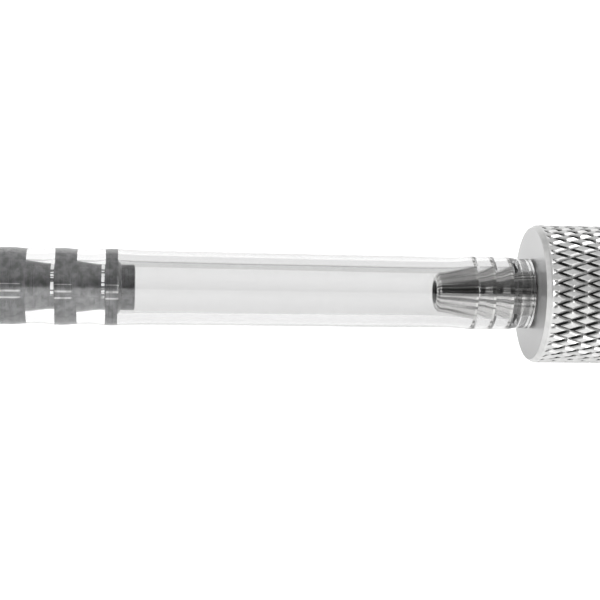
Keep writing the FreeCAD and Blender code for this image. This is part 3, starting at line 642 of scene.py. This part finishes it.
def shadeFlanks(made):
    # painted shade: the flanks that face the tube are coloured dark, boldest at a diamond's nearest corner
    # and fading along its two edges
    along, radius, angle = faceCentres(made)
    falling, rising = groovePhases(along, angle)
    half = nut["grooveShare"] / 2
    paintedShade = np.zeros(len(along))
    for flank, beside in ((falling, -rising), (-rising, falling)):
        bold = 1 - 0.5 * np.clip((np.mod(beside, 1) - 0.65) / 0.25, 0, 1)
        paintedShade = np.maximum(paintedShade, np.where((flank > 0) & (flank < half * nut["paintedShadeShare"]), bold, 0))
    deep = (radius < (nut["radius"] - 0.02) * mm) & (radius > (nut["radius"] - nut["depth"] * 1.1) * mm)
    inKnurl = (along > nutFace + nut["plainEnd"] * mm) & (along < nutMouth - nut["plainEnd"] * mm)
    addPaintedShade(made, paintedShade * deep * inKnurl)


head = {"collar": 8.0, "collarLength": 3.0, "snout": 7.0, "thread": 6.42, "inlet": 1.6, "inletLength": 5.0,
        "bore": 4.4, "socket": 5.0, "sealRadius": 6.2, "socketDepth": 3.0, "spiderRoom": 11.0,
        "ringGroove": 1.45, "ringInner": 3.83, "ringOuter": 5.37, "reliefDepth": 0.18, "reliefs": 3,
        "reliefStart": 5.4, "reliefPitch": 1.1, "collarBevel": 0.35, "threadBevel": 0.4, "snoutBevel": 0.3}


def makeHead():
    h = head
    faceX, endX = (corner.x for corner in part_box("probe_head"))
    mouth = (nutMouth - faceX) / mm
    end = (endX - faceX) / mm
    collarEnd = mouth + h["collarLength"]
    bevel = h["collarBevel"]
    corners = [(0, h["inlet"]), (0, h["ringInner"]), (h["ringGroove"], h["ringInner"]),
               (h["ringGroove"], h["ringOuter"]), (0, h["ringOuter"]), (0, h["thread"] - h["threadBevel"]),
               (h["threadBevel"], h["thread"]), (mouth, h["thread"]), (mouth, h["collar"] - bevel),
               (mouth + bevel, h["collar"]), (collarEnd - bevel, h["collar"]),
               (collarEnd, h["collar"] - bevel), (collarEnd, h["snout"])]
    cuts = [0.1, 0.05, 0.2, 0.2, 0.05, 0.1, 0.1, 0.02, 0.1, 0.15, 0.15, 0.1, 0.02]
    for number in range(h["reliefs"]):
        at = end - h["reliefStart"] + number * h["reliefPitch"]
        corners += [(at, h["snout"]), (at + 0.1, h["snout"] - h["reliefDepth"]),
                    (at + 0.5, h["snout"] - h["reliefDepth"]), (at + 0.6, h["snout"])]
        cuts += [0.05, 0.05, 0.05, 0.05]
    corners += [(end - h["snoutBevel"], h["snout"]), (end, h["snout"] - h["snoutBevel"]),
                (end, h["sealRadius"]), (end - h["socketDepth"], h["sealRadius"]),
                (end - h["socketDepth"], h["socket"]),
                (end - h["socketDepth"] - h["spiderRoom"], h["socket"]),
                (end - h["socketDepth"] - h["spiderRoom"], h["bore"]), (h["inletLength"], h["bore"]),
                (h["inletLength"], h["inlet"])]
    cuts += [0.12, 0.12, 0.1, 0.1, 0.1, 0.1, 0.1, 0.4, 0.1]
    profile = softened(corners, cuts)
    made = turned("probeHead", profileAt(faceX, profile), 192)
    return placed(made, "probe_head", "nut_aluminium", "head_aluminium")


# The lip is pairs of a distance from the seal's front and a radius
seal = {"inner": 5.0, "outer": 6.18, "round": 0.3,
        "lip": ((-1.3, 5.0), (-0.5, 5.12), (-0.05, 5.35), (0, 5.62), (-0.12, 5.95), (-0.55, 6.18))}


def makeSeal():
    low, high = (corner.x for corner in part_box("probe_seal"))
    deep = (high - low) / mm
    corners = [(0, seal["inner"])] + shifted(seal["lip"], deep) + [(0, seal["outer"])]
    made = turned("probeSeal", profileAt(low, softened(corners, seal["round"], 7)), 160)
    return placed(made, "probe_seal", "brown_rubber")


# The groove and the nose are pairs of a distance from the pin's front end and a radius
pin = {"headDome": ((0, 0), (0.06, 1.1), (0.45, 1.7), (1.2, 1.7)), "shank": 1.2,
       "groove": ((-2.2, 1.2), (-2.2, 1.05), (-1.8, 1.05), (-1.8, 1.2)),
       "nose": ((-0.55, 1.2), (-0.12, 0.85), (0, 0))}


def makePin():
    low, high = (corner.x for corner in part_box("drain_pin"))
    long = (high - low) / mm
    corners = list(pin["headDome"]) + [(pin["headDome"][-1][0], pin["shank"])]
    corners += shifted(pin["groove"] + pin["nose"], long)
    profile = softened(corners, [0, 0.3, 0.25, 0.1, 0.02, 0.05, 0.05, 0.05, 0.05, 0.3, 0.3, 0], closed=False)
    made = turned("drainPin", profileAt(low, profile), 96, closedLoop=False)
    return placed(made, "drain_pin", "stainless")


def broken(node, name, width):
    # the frame's own shape with its edges broken
    source = frame["nodes"][node].data.copy()
    work = bmesh.new()
    work.from_mesh(source)
    bmesh.ops.remove_doubles(work, verts=work.verts, dist=2e-6)
    bmesh.ops.dissolve_limit(work, angle_limit=math.radians(1.0), verts=work.verts, edges=work.edges)
    work.to_mesh(source)
    work.free()
    made = bpy.data.objects.new(name, source)
    bpy.context.scene.collection.objects.link(made)
    bevel = made.modifiers.new("brokenEdge", "BEVEL")
    bevel.width = width * mm
    bevel.segments = 3
    bevel.limit_method = "ANGLE"
    bevel.angle_limit = math.radians(30)
    source.polygons.foreach_set("use_smooth", np.ones(len(source.polygons), bool))
    source.set_sharp_from_angle(angle=math.radians(50))
    return made


brokenPieces = {
    "valve_body": ("valveBody", 0.10, "dark_anodised", None),
    "outlet_spout": ("outletSpout", 0.12, "dark_anodised", None),
    "gland_nut": ("glandNut", 0.07, "stainless", None),
    "valve_stem": ("valveStem", 0.06, "stainless", None),
    "stop_pin": ("stopPin", 0.12, "stainless", None),
    "lever": ("valveLever", 0.14, "stainless", "lever_steel"),
    "lever_sleeve": ("leverSleeve", 0.30, "sleeve_vinyl", None),
    "lever_washer": ("leverWasher", 0.06, "spring_washer_steel", None),
    "lever_nut": ("leverNut", 0.07, "stainless", None),
    "pin_spider": ("pinSpider", 0.10, "stainless", None),
    "valve_ball": ("valveBall", 0.10, "stainless", None),
}

makeTube()
makeHoseTail()
makeNipple()
makeNut()
makeHead()
makeSeal()
makePin()
for node, (name, width, slotName, materialName) in brokenPieces.items():
    placed(broken(node, name, width), node, slotName, materialName)
print("pieces made")

for node, slotName in (("front_seat", "ptfe"), ("rear_seat", "ptfe"), ("stem_packing", "ptfe"),
                       ("thrust_washer", "ptfe"), ("tail_seal_ring", "black_rubber"),
                       ("swivel_seal_ring", "black_rubber")):
    kept = frame["nodes"][node]
    kept.data.materials.clear()
    kept.data.materials.append(materials[slotName])

# The camera: its distance in metres and its turns from square on to the tube in degrees
cameraView = {"distance": 0.2219, "turn": 6.8, "rise": 20.0, "roll": 0.9, "tilt": 0.337, "lens": 102.0,
              "fromNippleTip": 17.7}


def makeCamera():
    turn, rise, roll, tilt = (math.radians(cameraView[key]) for key in ("turn", "rise", "roll", "tilt"))
    target = Vector((nippleTip - cameraView["fromNippleTip"] * mm, 0, axisHeight))
    forward = Vector((math.sin(turn), math.cos(turn) * math.cos(rise), -math.cos(turn) * math.sin(rise)))
    place = target - forward * cameraView["distance"]
    right = (Vector((1, 0, 0)) - forward * forward.x).normalized()
    up = right.cross(forward)
    right, up = right * math.cos(roll) + up * math.sin(roll), up * math.cos(roll) - right * math.sin(roll)
    lower = forward * math.cos(tilt) - up * math.sin(tilt)
    up = up * math.cos(tilt) + forward * math.sin(tilt)
    forward = lower
    data = bpy.data.cameras.new("camera")
    data.lens = cameraView["lens"]
    data.clip_start = 0.01
    made = bpy.data.objects.new("camera", data)
    made.matrix_world = Matrix((
        (right.x, up.x, -forward.x, place.x),
        (right.y, up.y, -forward.y, place.y),
        (right.z, up.z, -forward.z, place.z),
        (0, 0, 0, 1)))
    bpy.context.scene.collection.objects.link(made)
    bpy.context.scene.camera = made


floor = {"half": 3.0, "shade": (0.70, 0.70, 0.70, 1), "glow": 0.84}
softbox = {"place": (0.40, -0.16, 0.10), "aim": (0.04, 0, 0.01), "size": (0.20, 0.20), "power": 1.5}


def makeFloor():
    mesh = bpy.data.meshes.new("floor")
    half = floor["half"]
    corners = [(-half, -half, 0), (half, -half, 0), (half, half, 0), (-half, half, 0)]
    mesh.from_pydata(corners, [], [(0, 1, 2, 3)])
    made = bpy.data.objects.new("floor", mesh)
    bpy.context.scene.collection.objects.link(made)
    material, tree = newMaterial("paleFloor")
    tree.surface(Base_Color=floor["shade"], Roughness=0.9, Specular_IOR_Level=0.0,
                 Emission_Color=(1, 1, 1, 1), Emission_Strength=floor["glow"])
    mesh.materials.append(material)


# Strengths, then the steps between them as shares of a direction of length one
sky = {"white": 1.25, "roof": 0.62, "roofFront": 0.09, "lamp": 1.2, "right": 1.9,
       "roofLean": (-0.225, 0.974), "roofEdge": (0.42, 0.52), "roofEnds": (0.20, 0.42),
       "frontEdge": (0.45, 0.85), "lampNear": (0.12, 0.17), "lampFar": (0.22, 0.27),
       "lampHeight": (0.80, 0.90), "rightEdge": (0.45, 0.70), "rightBack": (0.2, 0.5)}


def makeWorld():
    # white all round, with a dark roof across the middle that reaches low in front, a narrow lamp in it
    # and a brighter right
    world = bpy.data.worlds.new("studio")
    bpy.context.scene.world = world
    world.use_nodes = True
    tree = Tree(world.node_tree)
    direction = tree.node("ShaderNodeTexCoord", {}, out="Generated")
    parts = tree.tree.nodes.new("ShaderNodeSeparateXYZ")
    tree.tree.links.new(direction.socket, parts.inputs[0])
    x, y, z = (Wire(tree, parts.outputs[k]) for k in range(3))
    leanY, leanZ = sky["roofLean"]
    roof = (z * leanZ + y * leanY).between(*sky["roofEdge"]) * (1 - (x * x).between(*sky["roofEnds"]))
    roofLevel = sky["roof"] + (0 - y).between(*sky["frontEdge"]) * (sky["roofFront"] - sky["roof"])
    lamp = y.between(*sky["lampNear"]) * (1 - y.between(*sky["lampFar"])) * z.between(*sky["lampHeight"])
    right = x.between(*sky["rightEdge"]) * (1 - y.between(*sky["rightBack"]))
    strength = sky["white"] + roof * (roofLevel - sky["white"])
    strength = strength + lamp * (sky["lamp"] - strength)
    strength = strength + right * (sky["right"] - strength)
    background = tree.node("ShaderNodeBackground", {}, (1, 1, 1, 1), strength)
    tree.node("ShaderNodeOutputWorld", {}, background)


def makeSoftbox():
    data = bpy.data.lights.new("rightSoftbox", "AREA")
    data.shape = "RECTANGLE"
    data.size, data.size_y = softbox["size"]
    data.energy = softbox["power"]
    made = bpy.data.objects.new("rightSoftbox", data)
    made.location = softbox["place"]
    towards = Vector(softbox["aim"]) - Vector(softbox["place"])
    made.rotation_euler = towards.to_track_quat("-Z", "Y").to_euler()
    bpy.context.scene.collection.objects.link(made)


makeCamera()
makeFloor()
makeWorld()
makeSoftbox()
bpy.context.scene.view_settings.view_transform = "Standard"
print("camera, floor and light placed")
